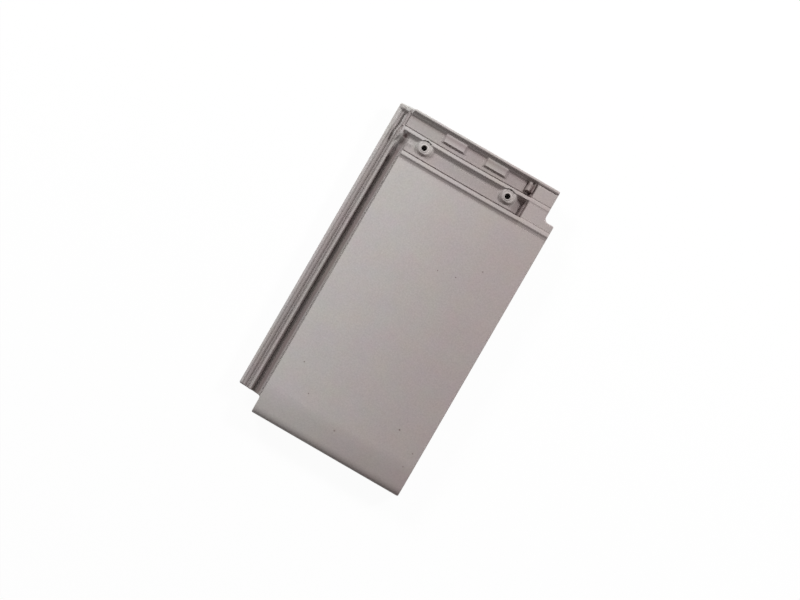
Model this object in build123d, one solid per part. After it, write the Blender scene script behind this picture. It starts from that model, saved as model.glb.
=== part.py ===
from build123d import *
import math
import os

# Flat interlocking roof tile of pressed and fired clay, one piece.
# Sizes are millimetres. Across runs from the outer edge of the left side lock, along runs
# from the front edge up the slope to the head, and height runs up from the feet of the nibs.
# The part's origin is the middle of the tile's box, on the level of those feet.

# Overall plan
tile_width = 272.0
tile_length = 482.0
lock_width = 35.3
field_joint = 2.0
lock_setback = 26.1
notch_width = 16.3
notch_length = 46.5
corner_setback = 3.3
edge_round = 1.6
corner_round = 2.0
inside_round = 3.5
notch_round = 7.0

# Thicknesses and depths
nib_drop = 12.0
body_depth = 28.0
plate_thickness = 12.5
flange_thickness = 7.5
flange_lip_thickness = 8.0
flange_ledge_thickness = 9.0
lock_play = 1.5
outer_lock_step = 4.5
groove_clay = 8.0
channel_clay = 8.5
pocket_depth = 5.5
pocket_end_depth = 12.5
rib_stand = 3.0
plate_rib_stand = 0.6
rib_top_fall = 1.2
plate_rib_top_fall = 0.8
rim_top_fall = 0.6

# Bands of the left side lock, across from its outer edge
outer_rib_right = 3.8
ridge_left = 6.2
ridge_right = 7.9
groove_left = 8.8
groove_right = 12.2
step_left = 12.9
step_right = 14.1
inner_rib_left = 15.4
inner_rib_right = 18.7
channel_left = 20.0
channel_right = 24.4
slope_right = 31.4
shelf_right = 33.9
lock_shift = 1.6
lock_shift_from_head = 30.0
lock_shift_length = 11.0

# Ribs and channels of the head lock, each as its width along
rim_width = 3.5
rim_slope = 5.6
rim_foot_round = 5.0
upper_channel = 19.8
rib_back_slope = 0.5
upper_rib_width = 4.6
upper_rib_slope = 6.4
upper_rib_foot_round = 4.0
lower_channel = 19.1
lower_rib_width = 5.0
lower_rib_slope = 3.4
lower_rib_foot_round = 8.0
rib_apron = 3.4
crease_width = 1.0
crease_depth = 2.4

# Ends of the head lock's channels, across
pocket_end_wall = 30.7
pocket_end_slope = 2.2
pocket_dip_length = 20.0
pocket_dip_slope = 11.0
pocket_ledge_width = 3.4
pocket_ledge_slope = 2.6
pocket_left = 20.2
rim_end_slant = 2.8
seam_groove_width = 1.0
seam_groove_depth = 1.3
low_ridge_left = 17.3
low_ridge_stand = 1.3
corner_bar_length = 3.6
corner_bar_slope = 5.0
corner_bar_stand = 2.5
ramp_landing = 1.2
ramp_length = 25.0
landing_step = 1.0
join_length = 16.2
join_width = 2.6
join_slope = 1.5

# Nail holes and their bosses, in the lower channel
nail_hole_radius = 3.9
nail_from_field = 24.8
nail_spacing = 134.4
nail_from_rib = 1.9
boss_radius = 9.5
boss_slope = 3.8
boss_shift_across = 1.0
boss_shift_along = 1.5
boss_front_edge = 7.2
boss_front_slope = 4.4
boss_below_rib = 1.2
boss_clearance_radius = 10.2
collar_radius = 5.4
collar_stand = 0.7

# Raised pads in the upper channel, over the nibs
pad_width = 36.4
pad_from_field = 59.4
pad_spacing = 66.5
pad_length = 13.0
pad_stand = 3.8
pad_slope = 3.2
pad_front_slope = 2.4
pad_tilt = 1.0
end_pad_width = 12.6
end_pad_gap = 1.8
end_pad_stand = 3.6

# Front nose
nose_bend = 44.7
nose_round = 13.9
nose_fall = 3.4
nose_shoulder = 5.6
nose_shoulder_fall = 5.2
nose_face = 9.0
nose_face_slope = 1.13
nose_drop = 4.0
nose_depth = 11.0
nose_slope = 3.0

# Underside
web_width = 11.0
web_slope = 3.5
left_web_width = 6.7
outer_under_right = 14.0
outer_under_slope = 2.5
hook_slope = 1.2
groove_hook_width = 2.6
groove_hook_play = 1.0
channel_hook_width = 4.6
channel_hook_play = 2.4
hook_drop = 5.0
foot_rib_drop = 8.0
foot_rib_front = 26.0
foot_rib_width = 7.5
second_foot_rib_front = 53.0
second_foot_rib_width = 5.0
foot_rib_slope = 1.5
boss_gap = 32.0
stiffener_width = 8.0
stiffener_slope = 2.2
stiffener_depth = 7.0
long_ribs = 3
cross_ribs = 2
head_web_width = 8.0
end_thickening = 7.0
nib_inset = 2.5
nib_from_rim = 16.4
nib_thickness = 17.5
nib_taper = 4.0

# Levels above the nibs' feet
web_under = nib_drop
field_top = web_under + body_depth
plate_under = field_top - plate_thickness
flange_under = field_top - flange_thickness
lip_under = field_top - flange_lip_thickness
ledge_under = field_top - flange_ledge_thickness
inner_rib_top = flange_under - lock_play
shelf_top = lip_under - lock_play
outer_lock_top = ledge_under - 2 * lock_play
ridge_top = outer_lock_top - 0.8
outer_lock_under = web_under + outer_lock_step
groove_floor = outer_lock_under + groove_clay
channel_floor = web_under + channel_clay
pocket_floor = field_top - pocket_depth
rib_top = field_top + rib_stand
plate_rib_top = field_top + plate_rib_stand
landing = pocket_floor - landing_step
boss_top = plate_rib_top - boss_below_rib
nose_under = web_under - nose_drop
foot_rib_under = web_under - foot_rib_drop
stiffener_under = plate_under - stiffener_depth

# Places along, from the front edge
head = tile_length
rim_front = head - rim_width
rim_foot = rim_front - rim_slope
upper_back_foot = rim_foot - upper_channel
upper_back = upper_back_foot - rib_back_slope
upper_front = upper_back - upper_rib_width
upper_foot = upper_front - upper_rib_slope
lower_back_foot = upper_foot - lower_channel
lower_back = lower_back_foot - rib_back_slope
lower_front = lower_back - lower_rib_width
lower_foot = lower_front - lower_rib_slope
head_start = lower_foot - rib_apron
nail_along = upper_foot - nail_from_rib
flange_head = head - notch_length
nib_front = rim_foot - nib_from_rim
head_web_front = head_start - head_web_width
shift_back = head - lock_shift_from_head
shift_front = shift_back - lock_shift_length

# Places across, from the lock's outer edge
cover_width = tile_width - lock_width + field_joint
head_right = tile_width - notch_width
pocket_right = head_right - pocket_end_wall
rim_left = pocket_left + rim_end_slant
left_web_right = lock_width + left_web_width
right_web_right = cover_width - field_joint
right_web_left = right_web_right - web_width
groove_hook_left = cover_width + groove_left + groove_hook_play / 2
channel_hook_left = cover_width + channel_left + channel_hook_play
nail_first = lock_width + nail_from_field
nail_middles = (nail_first, nail_first + nail_spacing)
pad_first = lock_width + pad_from_field
pad_middles = (pad_first, pad_first + pad_spacing)


def across(value):
    """Turn a distance from the left outer edge into the part's x."""
    return value - tile_width / 2


def along(value):
    """Turn a distance from the front edge into the part's y."""
    return value - tile_length / 2


def rounded_outline(corners):
    """Closed outline through corners (first, second, radius), each rounded by its own radius."""
    pieces = []
    ends = []
    for index, (first, second, radius) in enumerate(corners):
        here = Vector(first, second)
        before = Vector(*corners[index - 1][:2])
        after = Vector(*corners[(index + 1) % len(corners)][:2])
        to_before = (before - here).normalized()
        to_after = (after - here).normalized()
        half = math.radians(to_before.get_angle(to_after) / 2)
        if radius == 0:
            ends.append((here, here))
            continue
        setback = radius / math.tan(half)
        arrive = here + to_before * setback
        leave = here + to_after * setback
        inward = (to_before + to_after).normalized()
        middle = here + inward * (radius / math.sin(half) - radius)
        pieces.append(ThreePointArc(arrive, middle, leave))
        ends.append((arrive, leave))
    for index in range(len(ends)):
        start = ends[index - 1][1]
        finish = ends[index][0]
        if (finish - start).length > 1e-4:
            pieces.append(Line(start, finish))
    return make_face(Curve() + pieces)


def run_along(corners, start, finish):
    """Solid with a cross section in across and height, run between two distances along."""
    face = rounded_outline([(across(a), h, r) for a, h, r in corners])
    plane = Plane(origin=(0, along(finish), 0), x_dir=(1, 0, 0), z_dir=(0, -1, 0))
    return extrude(plane * face, amount=finish - start)


def run_across(corners, start, finish):
    """Solid with a cross section in along and height, run between two distances across."""
    face = rounded_outline([(along(a), h, r) for a, h, r in corners])
    plane = Plane(origin=(across(start), 0, 0), x_dir=(0, 1, 0), z_dir=(1, 0, 0))
    return extrude(plane * face, amount=finish - start)


def run_up(corners, bottom, top):
    """Solid with a plan in across and along, run between two levels."""
    face = rounded_outline([(across(a), along(b), r) for a, b, r in corners])
    return extrude(Plane(origin=(0, 0, bottom)) * face, amount=top - bottom)


def block(left, right, front, back, bottom, top):
    """Plain box between two distances across, two along and two levels."""
    size = Box(right - left, back - front, top - bottom)
    middle = (across((left + right) / 2), along((front + back) / 2), (bottom + top) / 2)
    return Pos(*middle) * size


def trapezium(foot_from, foot_to, top_from, top_to, foot, top, radius=0.0):
    """Corners of a rib's section, from its foot to a narrower top, or the other way up."""
    return [(foot_from, foot, 0.0), (top_from, top, radius), (top_to, top, radius), (foot_to, foot, 0.0)]


def plan_block():
    """Everything inside the tile's plan outline, with its rounded corners."""
    corners = [
        (lock_width, 0.0, corner_round),
        (tile_width, 0.0, corner_round),
        (tile_width, flange_head, corner_round),
        (head_right, flange_head, notch_round),
        (head_right, head, corner_round),
        (rim_left, head, 0.0),
        (rim_left, head - corner_setback, 0.0),
        (0.0, head - corner_setback, corner_round),
        (0.0, lock_setback, corner_round),
        (lock_width, lock_setback, inside_round),
    ]
    return run_up(corners, -1.0, rib_top + 1.0)


def lock_section(shift):
    """Section of the side lock, whose ridge, groove and inner rib are moved across by a shift."""
    corners = [
        (0.0, outer_lock_under, edge_round),
        (0.0, outer_lock_top, 1.2),
        (outer_rib_right + shift / 2, outer_lock_top, 0.8),
        (outer_rib_right + 0.9 + shift / 2, groove_floor + 0.5, 0.5),
        (ridge_left - 0.5 + shift, groove_floor + 0.5, 0.4),
        (ridge_left + shift, ridge_top, 0.5),
        (ridge_right + shift, ridge_top, 0.5),
        (groove_left + shift, groove_floor, 0.8),
        (groove_right + shift, groove_floor, 0.5),
        (step_left + shift, groove_floor + 2.5, 0.4),
        (step_right + shift, groove_floor + 2.5, 0.6),
        (inner_rib_left + shift, inner_rib_top, 0.8),
        (inner_rib_right + shift, inner_rib_top, 0.8),
        (channel_left + shift, channel_floor, 1.2),
        (channel_right + shift, channel_floor, 3.0),
        (slope_right, shelf_top - 1.2, 1.0),
        (slope_right + 0.7, shelf_top, 0.5),
        (lock_width + 6.0, shelf_top, 0.0),
        (left_web_right + 2 * web_slope, plate_under, 0.0),
        (left_web_right + web_slope, plate_under, 3.0),
        (left_web_right, web_under, edge_round),
        (outer_under_right + outer_under_slope, web_under, edge_round),
        (outer_under_right, outer_lock_under, edge_round),
    ]
    return rounded_outline([(across(a), h, r) for a, h, r in corners])


def lock_plane(distance):
    """Upright plane across the tile at a distance along, with its first axis across."""
    return Plane(origin=(0, along(distance), 0), x_dir=(1, 0, 0), z_dir=(0, -1, 0))


def side_lock():
    """Left side lock: outer rib, ridge, groove, inner rib and the deep water channel, whose
    lines step across near the head."""
    straight = lock_section(0.0)
    shifted = lock_section(lock_shift)
    front = extrude(lock_plane(shift_front) * straight, amount=shift_front - lock_setback + 1.0)
    step = loft([lock_plane(shift_front) * straight, lock_plane(shift_back) * shifted], ruled=True)
    back = extrude(lock_plane(head) * shifted, amount=head - shift_back)
    return front + step + back


def body():
    """Field plate with its right web, and the cover flange with its two hooks."""
    groove_hook_right = groove_hook_left + groove_hook_width
    channel_hook_right = channel_hook_left + channel_hook_width
    corners = [
        (shelf_right, shelf_top - 2.0, 0.0),
        (shelf_right, shelf_top, 0.0),
        (lock_width, field_top, edge_round),
        (tile_width, field_top, edge_round),
        (tile_width, lip_under, edge_round),
        (channel_hook_right + hook_slope, lip_under, 1.0),
        (channel_hook_right, lip_under - hook_drop, 1.2),
        (channel_hook_left, lip_under - hook_drop, 1.2),
        (channel_hook_left - hook_slope, flange_under, 1.0),
        (groove_hook_right + hook_slope, flange_under, 1.0),
        (groove_hook_right, flange_under - hook_drop, 0.8),
        (groove_hook_left, flange_under - hook_drop, 0.8),
        (groove_hook_left - hook_slope, ledge_under, 1.0),
        (right_web_right + hook_slope, ledge_under, 1.0),
        (right_web_right, web_under, edge_round),
        (right_web_left, web_under, edge_round),
        (right_web_left - web_slope, plate_under, 3.0),
        (lock_width, plate_under, 0.0),
    ]
    return run_along(corners, 0.0, head)


def nose_cut():
    """What is taken off the top of the front, which bends down and rounds over to its face."""
    bend = (along(nose_bend), field_top)
    slope_end = (along(nose_round), field_top - nose_fall)
    shoulder = (along(nose_shoulder), field_top - nose_shoulder_fall)
    face = (along(0.0), field_top - nose_face)
    slope = nose_fall / (nose_bend - nose_round)
    ends = [(-1, -slope / 3), (-1, -nose_face_slope)]
    crown = Spline(bend, slope_end, shoulder, face, tangents=ends)
    outside = (along(-2.0), field_top - nose_face)
    above = (along(-2.0), rib_top + 1.0)
    back = (along(nose_bend), rib_top + 1.0)
    outline = make_face(Curve() + [crown, Polyline(face, outside, above, back, bend)])
    plane = Plane(origin=(across(-1.0), 0, 0), x_dir=(0, 1, 0), z_dir=(1, 0, 0))
    return extrude(plane * outline, amount=tile_width + 2.0)


def nose_foot():
    """Deep front edge, which hangs over the tile below and closes the locks' front ends."""
    inner = nose_depth + nose_slope
    corners = [
        (0.0, nose_under, edge_round),
        (0.0, field_top, 0.0),
        (inner, field_top, 0.0),
        (inner, plate_under, 0.0),
        (nose_depth, nose_under, edge_round),
    ]
    return run_across(corners, lock_width, tile_width)


def foot_ribs():
    """Cross ribs under the front, which drop into the head lock's channels, clear of its bosses."""
    ribs = Part()
    spans = (
        (foot_rib_front, foot_rib_front + foot_rib_width),
        (second_foot_rib_front, second_foot_rib_front + second_foot_rib_width),
    )
    for front, back in spans:
        section = trapezium(
            front - foot_rib_slope, back + foot_rib_slope, front, back, plate_under + 2.0, foot_rib_under, 1.2
        )
        ribs += run_across(section, left_web_right - 2.0, right_web_left + 2.0)
    for middle in nail_middles:
        gap_front = foot_rib_front - 6.0
        gap_back = foot_rib_front + foot_rib_width + 6.0
        ribs -= block(
            middle - boss_gap / 2, middle + boss_gap / 2, gap_front, gap_back, 0.0, plate_under
        )
    return ribs


def stiffener(middle):
    """Section of a stiffening rib about its middle line."""
    half = stiffener_width / 2
    foot = half + stiffener_slope
    return trapezium(
        middle - foot, middle + foot, middle - half, middle + half, plate_under + 1.0, stiffener_under, 1.5
    )


def stiffeners():
    """Low ribs along and across the field's underside, and the deep web in front of the head lock."""
    left = left_web_right
    right = right_web_left
    front = second_foot_rib_front + second_foot_rib_width
    ribs = Part()
    for number in range(long_ribs):
        middle = left + (right - left) * (number + 1) / (long_ribs + 1)
        ribs += run_along(stiffener(middle), front - 2.0, head_web_front + 2.0)
    for number in range(cross_ribs):
        middle = front + (head_web_front - front) * (number + 1) / (cross_ribs + 1)
        ribs += run_across(stiffener(middle), left - 1.0, right + 1.0)
    web = trapezium(
        head_web_front - web_slope, head_start + web_slope, head_web_front, head_start,
        plate_under + 1.0, web_under, 2.0,
    )
    ribs += run_across(web, left - 2.0, right + 2.0)
    return ribs


def head_lock():
    """Rim, upper channel, upper rib, lower channel and lower rib, with every edge rounded."""
    corners = [
        (head_start, pocket_floor - 2.0, 0.0),
        (head_start, field_top, 0.0),
        (lower_foot, field_top, lower_rib_foot_round),
        (lower_front, rib_top, 0.7),
        (lower_back, rib_top - rib_top_fall, 0.7),
        (lower_back_foot, pocket_floor - crease_depth, 0.4),
        (lower_back_foot + crease_width, pocket_floor, 0.5),
        (upper_foot, pocket_floor, upper_rib_foot_round),
        (upper_front, plate_rib_top, 1.0),
        (upper_back, plate_rib_top - plate_rib_top_fall, 0.7),
        (upper_back_foot, pocket_floor - crease_depth, 0.4),
        (upper_back_foot + crease_width, pocket_floor, 0.5),
        (rim_foot, pocket_floor, rim_foot_round),
        (rim_front, rib_top, 1.0),
        (head, rib_top - rim_top_fall, 1.2),
        (head, pocket_floor - 2.0, 0.0),
    ]
    return run_across(corners, pocket_left, pocket_right)


def head_plate():
    """Flat plate right of the channels, where the ribs go on as low lines, and the lower rib.
    Its left face slopes down into both channels."""
    corners = [
        (head_start, pocket_floor - 2.0, 0.0),
        (head_start, field_top, 0.0),
        (lower_foot, field_top, lower_rib_foot_round),
        (lower_front, rib_top, 0.7),
        (lower_back, rib_top - rib_top_fall, 0.7),
        (lower_back_foot, field_top, 1.0),
        (upper_front - 1.0, field_top, 0.4),
        (upper_front, plate_rib_top, 0.4),
        (upper_back, field_top, 0.4),
        (rim_front - 1.6, field_top, 1.0),
        (rim_front, rib_top, 1.0),
        (head, rib_top - rim_top_fall, 1.2),
        (head, pocket_floor - 2.0, 0.0),
    ]
    wall_foot = pocket_right - pocket_end_slope
    slope = [
        (wall_foot - 1.0, pocket_floor - 3.0, 0.0),
        (wall_foot, pocket_floor - 3.0, 0.0),
        (pocket_right, field_top, 0.0),
        (pocket_right, rib_top + 1.0, 0.0),
        (wall_foot - 1.0, rib_top + 1.0, 0.0),
    ]
    return run_across(corners, wall_foot, tile_width) - run_along(slope, head_start - 1.0, head + 1.0)


def pocket_dips():
    """Deeper right ends of both channels, whose floors slope down to a ledge by the end wall."""
    low = field_top - pocket_end_depth
    start = pocket_right - pocket_dip_length
    ledge = pocket_right - pocket_end_slope - pocket_ledge_width + 0.8
    section = [
        (start, pocket_floor + 0.01, 0.0),
        (start + pocket_dip_slope, low, 4.0),
        (ledge - pocket_ledge_slope, low, 0.6),
        (ledge, pocket_floor + 0.01, 0.0),
    ]
    dips = run_along(section, lower_back_foot + crease_width, upper_foot - 1.0)
    dips += run_along(section, upper_back_foot + crease_width, rim_foot - 1.0)
    return dips


def end_thickening_block():
    """Thicker clay under the deeper ends of the channels."""
    section = trapezium(
        pocket_right - pocket_dip_length - 6.0, right_web_left + 2.0,
        pocket_right - pocket_dip_length - 3.0, right_web_left + 2.0,
        plate_under + 1.0, plate_under - end_thickening,
    )
    return run_along(section, head_start - 1.0, rim_foot)


def channel_head():
    """Landing left of the lower channel and the ramp by which it drains into the water channel."""
    landing_front = upper_foot - ramp_landing
    corners = [
        (landing_front - ramp_length - 4.0, channel_floor - 2.0, 0.0),
        (landing_front - ramp_length, channel_floor + 0.2, 8.0),
        (landing_front, landing, 3.0),
        (upper_foot + 1.0, landing, 0.0),
        (upper_foot + 1.0, channel_floor - 2.0, 0.0),
    ]
    return run_across(corners, inner_rib_right + 0.3, lock_width + 1.0)


def head_left():
    """Clay under the left ends of the rim and both channels, out over the side lock."""
    return block(pocket_left, lock_width + 8.0, upper_foot - 1.0, head, web_under + 4.0, pocket_floor - 1.0)


def rib_join():
    """Slanted stretch by which the lock's inner rib climbs to meet the upper rib's left end."""
    low_middle = (inner_rib_left + inner_rib_right) / 2
    high_middle = pocket_left + join_slope

    def section(middle, top):
        left = middle - join_width / 2
        right = middle + join_width / 2
        return rounded_outline([
            (across(left - join_slope), channel_floor, 0.0),
            (across(left), top, 0.8),
            (across(right), top, 0.8),
            (across(right + join_slope), channel_floor, 0.0),
        ])

    start = upper_foot - join_length
    low = lock_plane(start) * section(low_middle, inner_rib_top - 0.5)
    high = lock_plane(upper_foot) * section(high_middle, plate_rib_top - 1.0)
    end = lock_plane(upper_back) * section(high_middle, plate_rib_top)
    return loft([low, high], ruled=True) + loft([high, end], ruled=True)


def low_ridge():
    """Low ridge that closes the upper channel's left end, with the fine groove beside it."""
    top = pocket_floor + low_ridge_stand
    section = trapezium(
        low_ridge_left - 0.8, pocket_left + 0.4, low_ridge_left, pocket_left - 0.6,
        groove_floor - 1.0, top, 0.6,
    )
    return run_along(section, upper_front, rim_foot + 1.0)


def seam_groove():
    """Fine groove between the low ridge and the upper channel's floor."""
    floor = pocket_floor - seam_groove_depth
    return block(
        pocket_left, pocket_left + seam_groove_width, upper_back_foot + 1.5, rim_foot - 3.0, floor, rib_top
    )


def corner_bar():
    """Bar across the head end of the side lock."""
    front = head - corner_setback - corner_bar_length
    top = outer_lock_top + corner_bar_stand
    corners = [
        (front - corner_bar_slope, groove_floor - 1.0, 0.0),
        (front, top, 1.0),
        (head - corner_setback, top, 1.2),
        (head - corner_setback, groove_floor - 1.0, 0.0),
    ]
    return run_across(corners, outer_rib_right - 1.0, pocket_left + 3.0)


def rim_end_cut():
    """Slanted left end of the rim."""
    corners = [
        (pocket_left - 1.0, head + 1.0, 0.0),
        (rim_left, head + 1.0, 0.0),
        (pocket_left, rim_foot, 0.0),
        (pocket_left - 1.0, rim_foot, 0.0),
    ]
    return run_up(corners, outer_lock_top + corner_bar_stand, rib_top + 1.0)


def boss_clearances():
    """Round spaces about the bosses, which cut into the front of the upper rib."""
    made = Part()
    height = rib_top - pocket_floor + 2.0
    for middle in nail_middles:
        made += Pos(across(middle), along(nail_along), pocket_floor + height / 2) * Cylinder(
            boss_clearance_radius, height
        )
    return made


def bosses():
    """Bosses about the nail holes: a flared mound, a little off the hole towards the head and
    the right, with a round collar on its flat top."""
    made = Part()
    from_bottom = (Align.CENTER, Align.CENTER, Align.MIN)
    foot_radius = boss_radius + boss_slope
    height = boss_top - pocket_floor
    for middle in nail_middles:
        mound_place = (across(middle + boss_shift_across), along(nail_along + boss_shift_along))
        mound = Pos(*mound_place, pocket_floor) * Cone(foot_radius, boss_radius, height, align=from_bottom)
        mound += Pos(*mound_place, pocket_floor - 1.0) * Cylinder(foot_radius, 1.0, align=from_bottom)
        mound &= boss_front(middle)
        collar = Pos(across(middle), along(nail_along), boss_top - 1.0) * Cylinder(
            collar_radius, 1.0 + collar_stand, align=from_bottom
        )
        collar = fillet(collar.edges().group_by(Axis.Z)[-1], collar_stand - 0.1)
        made += mound + collar
    return made


def boss_front(middle):
    """All that lies behind a boss's front, which is a straight slope across."""
    edge = nail_along - boss_front_edge
    corners = [
        (edge - boss_front_slope, pocket_floor - 1.0, 0.0),
        (edge - boss_front_slope, pocket_floor, 0.0),
        (edge, boss_top, 0.0),
        (edge, boss_top + 1.0, 0.0),
        (nail_along + 20.0, boss_top + 1.0, 0.0),
        (nail_along + 20.0, pocket_floor - 1.0, 0.0),
    ]
    return run_across(corners, middle - 20.0, middle + 20.0)


def boss_limits():
    """Where the bosses may stand: in front of the upper rib, and in the round spaces cut in it."""
    return block(0.0, tile_width, head_start, upper_front, 0.0, rib_top) + boss_clearances()


def nail_holes():
    """Holes for the nails, right through the bosses and the plate."""
    made = Part()
    height = rib_top + 2.0
    for middle in nail_middles:
        made += Pos(across(middle), along(nail_along), height / 2) * Cylinder(nail_hole_radius, height)
    return made


def pad(left, right, stand, floor):
    """Raised pad against the rim, sloped on its front and both ends, highest along its front."""
    front = rim_foot - pad_length
    crest = front + pad_front_slope
    top = pocket_floor + stand
    ends = [
        (left, floor, 0.0),
        (left, pocket_floor - 0.5, 0.0),
        (left + pad_slope, top, 0.0),
        (right - pad_slope, top, 0.0),
        (right, pocket_floor - 0.5, 0.0),
        (right, floor, 0.0),
    ]
    side = [
        (front, floor, 0.0),
        (front, pocket_floor - 0.5, 0.0),
        (crest, top, 0.8),
        (rim_foot + 1.0, top - pad_tilt, 0.0),
        (rim_front, top - pad_tilt, 0.0),
        (rim_front, floor, 0.0),
    ]
    return run_along(ends, front - 1.0, rim_front) & run_across(side, left - 1.0, right + 1.0)


def pads():
    """Both pads over the nibs, and the small one in the upper channel's deeper right end."""
    made = Part()
    for middle in pad_middles:
        made += pad(middle - pad_width / 2, middle + pad_width / 2, pad_stand, pocket_floor - 1.0)
    end = pocket_right - end_pad_gap
    made += pad(end - end_pad_width, end, end_pad_stand, field_top - pocket_end_depth - 1.0)
    return made


def nibs():
    """Both nibs that hang on the batten, upright in front and tapered behind and at their ends."""
    made = Part()
    back = nib_front + nib_thickness
    for middle in pad_middles:
        left = middle - pad_width / 2 + nib_inset
        right = middle + pad_width / 2 - nib_inset
        profile = [
            (nib_front, 0.0, 1.5),
            (nib_front, plate_under + 1.0, 0.0),
            (back, plate_under + 1.0, 0.0),
            (back - nib_taper, 0.0, 2.0),
        ]
        ends = trapezium(left, right, left + nib_taper, right - nib_taper, plate_under + 1.0, 0.0, 1.5)
        made += run_across(profile, left, right) & run_along(ends, nib_front - 1.0, back + 1.0)
    return made


def roof_tile():
    """The whole tile as one solid."""
    low = pocket_floor - 1.0
    tile = body() - block(-1.0, tile_width + 1.0, head_start, head + 1.0, low, rib_top)
    tile += side_lock() - block(pocket_left, lock_width + 20.0, head_start, head, low, rib_top)
    tile += channel_head()
    tile += head_left()
    tile += head_plate()
    tile += head_lock() - block(0.0, lock_width, head_start - 1.0, upper_foot, 0.0, rib_top + 1.0)
    tile += rib_join() + low_ridge() + corner_bar()
    tile -= seam_groove() + rim_end_cut()
    tile += end_thickening_block()
    tile -= pocket_dips()
    tile += pads()
    tile -= boss_clearances()
    tile += bosses() & boss_limits()
    tile -= nose_cut()
    tile += nose_foot() - nose_cut()
    tile += foot_ribs() + stiffeners() + nibs()
    tile &= plan_block()
    tile -= nail_holes()
    return tile


tile = roof_tile()
os.makedirs("parts", exist_ok=True)
export_step(tile, "parts/roof_tile.step")
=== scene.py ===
import math

import bpy
import numpy as np
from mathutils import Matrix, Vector


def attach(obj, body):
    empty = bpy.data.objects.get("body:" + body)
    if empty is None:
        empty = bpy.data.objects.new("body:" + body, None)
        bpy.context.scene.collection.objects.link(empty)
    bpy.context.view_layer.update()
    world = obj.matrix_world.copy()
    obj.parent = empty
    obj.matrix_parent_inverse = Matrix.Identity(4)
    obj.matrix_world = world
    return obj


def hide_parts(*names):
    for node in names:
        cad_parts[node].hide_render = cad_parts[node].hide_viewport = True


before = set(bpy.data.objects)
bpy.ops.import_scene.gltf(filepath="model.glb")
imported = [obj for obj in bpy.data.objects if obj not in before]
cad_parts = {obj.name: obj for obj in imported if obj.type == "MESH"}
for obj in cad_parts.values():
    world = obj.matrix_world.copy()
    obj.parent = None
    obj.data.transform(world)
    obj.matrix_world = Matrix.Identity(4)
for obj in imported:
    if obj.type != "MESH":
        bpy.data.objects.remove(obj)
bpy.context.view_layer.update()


# Tile body. One piece of red clay, pressed between two plaster moulds, dipped in grey engobe
# (a slip that fires to a matt skin) and fired at about 1000 degrees. At every place it has one
# top and one bottom height, so it is two height fields with a wall round their plan.

# Sizes are millimetres: across from the side lock's outer edge, along from the front edge, and
# height from the feet of the nibs.
tile_width = 272.0
tile_length = 482.0
lock_width = 35.3
body_top = 40.0

# Plan outline: the field, the side lock set back at the front, and the head without the notch.
# The lock and the head reach in under the field, so that the three overlap.
lock_setback = 26.1
lock_front_slant = -0.05
lock_head = 479.4
lock_head_slant = 0.08
lock_overlap_right = 60.0
flange_head = 435.5
head_left = 23.0
head_right = 255.7
head_overlap_front = 380.0
corner_round = 2.0
inside_round = 3.5
notch_round = 7.0
press_edge = 1.4
hole_radius = 3.9
nail_middles = (60.1, 194.5)
nail_along = 439.7
nail_edge = 0.8


def rectangle(across, along, left, right, front, back):
    """Distance to a rectangle with rounded corners, negative inside."""
    past_side = np.abs(across - (left + right) / 2) - (right - left) / 2 + corner_round
    past_end = np.abs(along - (front + back) / 2) - (back - front) / 2 + corner_round
    outside = np.hypot(np.maximum(past_side, 0), np.maximum(past_end, 0))
    return outside + np.minimum(np.maximum(past_side, past_end), 0) - corner_round


def joined(first, second, radius):
    """Distance to two shapes joined with a fillet of this radius in their inner corner."""
    fillet = np.hypot(np.maximum(radius - first, 0), np.maximum(radius - second, 0))
    return np.maximum(radius, np.minimum(first, second)) - fillet


def plan_distance(across, along):
    """Distance to the tile's plan outline, negative inside: the least of those to its parts."""
    field = rectangle(across, along, lock_width, tile_width, 0.0, flange_head)
    lock_front = lock_setback + lock_front_slant * (across - lock_width / 2)
    lock_back = np.minimum(lock_head + lock_head_slant * across, tile_length)
    lock = rectangle(across, along, 0.0, lock_overlap_right, lock_front, lock_back)
    head = rectangle(across, along, head_left, head_right, head_overlap_front, tile_length)
    with_lock = joined(field, lock, inside_round)
    with_head = joined(field, head, notch_round)
    return np.minimum(with_lock, with_head)


def from_nail(across, along, middle):
    """Distance to the middle of a nail hole."""
    return np.hypot(across - middle, along - nail_along)


def outline_distance(across, along):
    """Distance to the plan outline or a nail hole, negative where there is clay."""
    distance = plan_distance(across, along)
    for middle in nail_middles:
        distance = np.maximum(distance, hole_radius - from_nail(across, along, middle))
    return distance


def climb(value, start, finish):
    """Share that rises from 0 at start to 1 at finish, level at both ends: 3 t^2 - 2 t^3."""
    share = np.clip((value - start) / (finish - start), 0, 1)
    return share * share * (3 - 2 * share)


def span(value, start, risen, falling, finish):
    """Share that climbs from 0 at start to 1, stays there and is back at 0 at finish."""
    return climb(value, start, risen) * climb(value, finish, falling)


def polyline(value, corners):
    """Straight stretches through (place, height) corners, level past both ends."""
    return np.interp(value, *np.array(corners).T)


def rounded(value, corners, width):
    """A polyline averaged over a short width, which rounds every corner as the press does."""
    shifts = np.linspace(-0.5, 0.5, 7) * width
    return np.mean([polyline(value + shift, corners) for shift in shifts], axis=0)


def edge_fall(inside, radius):
    """How far a quarter-round edge has fallen at a distance inside it."""
    return radius - np.sqrt(radius**2 - np.clip(radius - inside, 0, radius) ** 2)


def bump_line(value, middle, width):
    """Share of a narrow rounded line: a raised cosine about its middle."""
    reach = np.clip(np.abs(value - middle) / (width / 2), 0, 1)
    return 0.5 + 0.5 * np.cos(np.pi * reach)


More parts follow.
